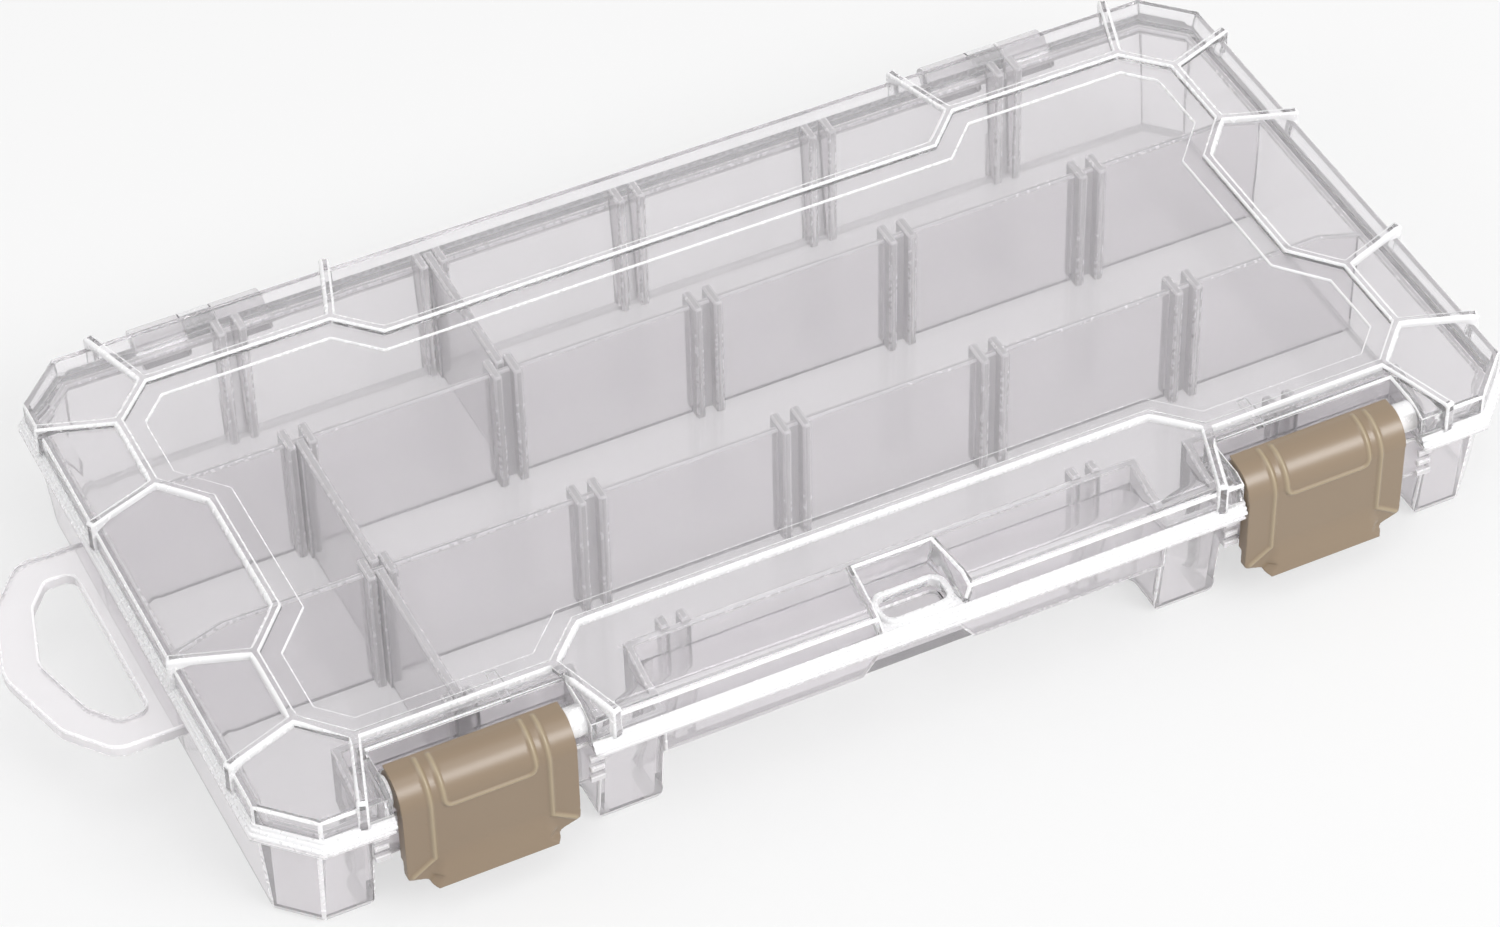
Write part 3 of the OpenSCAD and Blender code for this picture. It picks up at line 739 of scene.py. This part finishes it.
    def build(self, frame: dict, finish: bpy.types.Material) -> bpy.types.Object:
        """Makes the latch, gives it its finish and puts it in its node's place.

        Args:
            finish: the material.

        Returns:
            The finished piece.
        """
        piece = merged_copy(frame, self.node, self.piece_name)
        low, high = (Vector(c) * 1000 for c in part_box(self.node))
        remesh = piece.modifiers.new("even", "REMESH")
        remesh.mode = "VOXEL"
        remesh.voxel_size = mm(self.voxel)
        soften = piece.modifiers.new("soften", "SMOOTH")
        soften.factor = 0.5
        soften.iterations = 3
        only(piece)
        bpy.ops.object.modifier_apply(modifier=remesh.name)
        bpy.ops.object.modifier_apply(modifier=soften.name)
        self.sculpt(piece.data, (low.x + high.x) / 2, low.y + self.flare, high.z)
        thin = piece.modifiers.new("thin", "DECIMATE")
        thin.ratio = self.thin
        bpy.ops.object.modifier_apply(modifier=thin.name)
        bpy.ops.object.shade_smooth()
        piece.data.materials.clear()
        piece.data.materials.append(finish)
        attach(piece, self.body)
        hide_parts(self.node)
        LOG.info("%s: %d faces", self.piece_name, len(piece.data.polygons))
        return piece


def segment_distance(p: Point, a: Point, b: Point) -> float:
    """Gives the distance of p from the straight line between a and b."""
    dx, dy = b[0] - a[0], b[1] - a[1]
    t = ((p[0] - a[0]) * dx + (p[1] - a[1]) * dy) / (dx * dx + dy * dy)
    t = min(max(t, 0.0), 1.0)
    return math.hypot(p[0] - a[0] - t * dx, p[1] - a[1] - t * dy)


# ------------------------------------------------------------------ studio


@dataclass
class Camera:
    """The viewing angle."""

    azimuth: float = 25.30
    elevation: float = 44.22
    roll: float = -1.25
    lens: float = 122.11
    place: tuple[float, float, float] = (-286.29, -599.70, 655.22)

    def build(self) -> None:
        """Makes the camera and hands it to the scene."""
        a, e, r = (math.radians(v) for v in (self.azimuth, self.elevation, self.roll))
        ahead = Vector((math.sin(a) * math.cos(e), math.cos(a) * math.cos(e), -math.sin(e)))
        right = Vector((math.cos(a), -math.sin(a), 0))
        up = right.cross(ahead)
        x = math.cos(r) * right + math.sin(r) * up
        y = -math.sin(r) * right + math.cos(r) * up
        data = bpy.data.cameras.new("camera")
        data.lens, data.sensor_width, data.clip_start, data.clip_end = self.lens, 36.0, 0.01, 20.0
        camera = bpy.data.objects.new("camera", data)
        camera.matrix_world = Matrix.Translation(mm(*self.place)) @ Matrix(
            ((x.x, y.x, -ahead.x), (x.y, y.y, -ahead.y), (x.z, y.z, -ahead.z))).to_4x4()
        bpy.context.scene.collection.objects.link(camera)
        bpy.context.scene.camera = camera


@dataclass
class Softbox:
    """A soft square lamp that looks at the box."""

    name: str
    azimuth: float
    elevation: float
    distance: float
    width: float
    height: float
    power: float

    def build(self) -> None:
        """Makes the lamp."""
        a, e = math.radians(self.azimuth), math.radians(self.elevation)
        away = Vector((-math.sin(a) * math.cos(e), -math.cos(a) * math.cos(e), math.sin(e)))
        data = bpy.data.lights.new(self.name, "AREA")
        data.shape = "RECTANGLE"
        data.size, data.size_y, data.energy = self.width, self.height, self.power
        lamp = bpy.data.objects.new(self.name, data)
        lamp.location = away * self.distance
        lamp.rotation_euler = away.to_track_quat("Z", "Y").to_euler()
        bpy.context.scene.collection.objects.link(lamp)


@dataclass
class Studio:
    """A plain pale floor, a pale surround that dims overhead, and soft lamps."""

    floor_size: float = 12.0
    floor_grey: float = 0.78
    background_share: float = 0.6
    horizon: float = 1.0
    overhead: float = 0.9
    ambient: float = 0.74
    bounces: int = 32

    lamps: tuple[Softbox, ...] = (
        Softbox("overhead", 20, 74, 1.3, 0.6, 0.6, 2.5),
        Softbox("front", -24, 40, 1.5, 0.9, 0.65, 11.0),
        Softbox("side", 95, 35, 1.5, 0.7, 0.35, 2.0),
    )

    def floor(self) -> None:
        """Lays the floor."""
        bpy.ops.object.select_all(action="DESELECT")
        bpy.ops.mesh.primitive_plane_add(size=self.floor_size, location=(0, 0, mm(-0.05)))
        floor = bpy.context.active_object
        floor.name = "floor"
        material = bpy.data.materials.new("floor_paper")
        material.use_nodes = True
        tree = Tree(material.node_tree)
        shader = material.node_tree.nodes["Principled BSDF"]
        shader.inputs["Base Color"].default_value = (self.floor_grey,) * 3 + (1,)
        shader.inputs["Roughness"].default_value = 0.9
        shader.inputs["Specular IOR Level"].default_value = 0.1
        seen = seen_rays(tree)
        share = tree.add("Math", {0: seen, 1: self.background_share}, operation="MULTIPLY")
        glow = tree.add("Emission", {"Color": (1, 1, 1, 1), "Strength": 1.0})
        both = tree.add("MixShader", {0: share.outputs[0], 1: shader.outputs[0], 2: glow.outputs[0]})
        out = material.node_tree.nodes["Material Output"]
        material.node_tree.links.new(both.outputs[0], out.inputs["Surface"])
        floor.data.materials.append(material)

    def surround(self) -> None:
        """Makes the surround: white at the horizon, dimmer overhead."""
        world = bpy.data.worlds.new("surround")
        bpy.context.scene.world = world
        world.use_nodes = True
        tree = Tree(world.node_tree)
        way = tree.add("TexCoord").outputs["Generated"]
        height = tree.add("SeparateXYZ", {0: way}).outputs["Z"]
        grey = tree.ramp(height, [(0.0, self.horizon), (0.3, self.horizon), (0.75, self.overhead)])
        back = world.node_tree.nodes["Background"]
        strength = tree.add("MapRange", {"Value": seen_rays(tree), "To Min": self.ambient, "To Max": 1.0})
        world.node_tree.links.new(grey, back.inputs["Color"])
        world.node_tree.links.new(strength.outputs[0], back.inputs["Strength"])

    def light_paths(self) -> None:
        """Lets light pass through many clear walls before it counts as lost."""
        cycles = bpy.context.scene.cycles
        cycles.max_bounces = cycles.transmission_bounces = self.bounces
        cycles.glossy_bounces = cycles.transparent_max_bounces = self.bounces

    def build(self) -> None:
        """Makes the floor, the surround and the lamps."""
        self.light_paths()
        self.floor()
        self.surround()
        for lamp in self.lamps:
            lamp.build()
        LOG.info("studio: floor, surround and %d lamps", len(self.lamps))


def seen_rays(tree: Tree) -> bpy.types.NodeSocket:
    """Gives 1 for rays that come from the camera, straight, by reflection or through plastic."""
    path = tree.add("LightPath").outputs
    first = tree.add("Math", {0: path["Is Camera Ray"], 1: path["Is Glossy Ray"]}, operation="MAXIMUM")
    both = tree.add("Math", {0: first.outputs[0], 1: path["Is Transmission Ray"]}, operation="MAXIMUM")
    return both.outputs[0]


# ------------------------------------------------------------------ the box


def build_box(frame: dict) -> None:
    """Makes every piece of the box in its finish."""
    # edge is the whiter plastic of the painted highlight lines on the rounded edges of the tray and the
    # dividers.
    tray, edge, rib = TRAY_CLEAR.build(), TRAY_EDGE_HIGHLIGHT.build(), TRAY_RIB.build()
    lid, lid_highlight = LID_CLEAR.build(), LID_EDGE_HIGHLIGHT.build()
    divider, pin, tan = DIVIDER_CLEAR.build(), PIN_CLEAR.build(), LATCH_TAN.build()
    Moulding("tray", "tray_moulding", "tray", "tray_plastic", narrow=2.2).build(frame, tray, edge, rib)
    # The lid's rounded edges and narrow faces take the whiter plastic of the painted highlight lines.
    Moulding("lid", "lid_moulding", "lid", "lid_plastic", crest=32.0, crest_edge=0.85,
             lift=0.04).build(frame, lid, lid_highlight, lid_highlight)
    for row in ("back", "middle", "front"):
        node = f"cross_divider_{row}"
        Moulding(node, f"{node}_moulding", "tray", "divider_plastic", narrow=2.2,
                 lift=0.04).build(frame, divider, edge, rib)
    for side in ("left", "right"):
        Latch(f"latch_{side}", f"latch_{side}_moulding", f"latch_{side}").build(frame, tan)
        Moulding(f"hinge_pin_{side}", f"hinge_pin_{side}_rod", "tray", "pin_plastic",
                 edge=0.15).build(frame, pin, pin, pin)


def main() -> None:
    """Builds everything in order."""
    logging.basicConfig(level=logging.INFO, format="%(message)s")
    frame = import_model()
    bpy.context.scene.view_settings.view_transform = "Standard"
    Camera().build()
    build_flow()
    build_grain()
    Studio().build()
    build_box(frame)


if __name__ == "__main__":
    main()
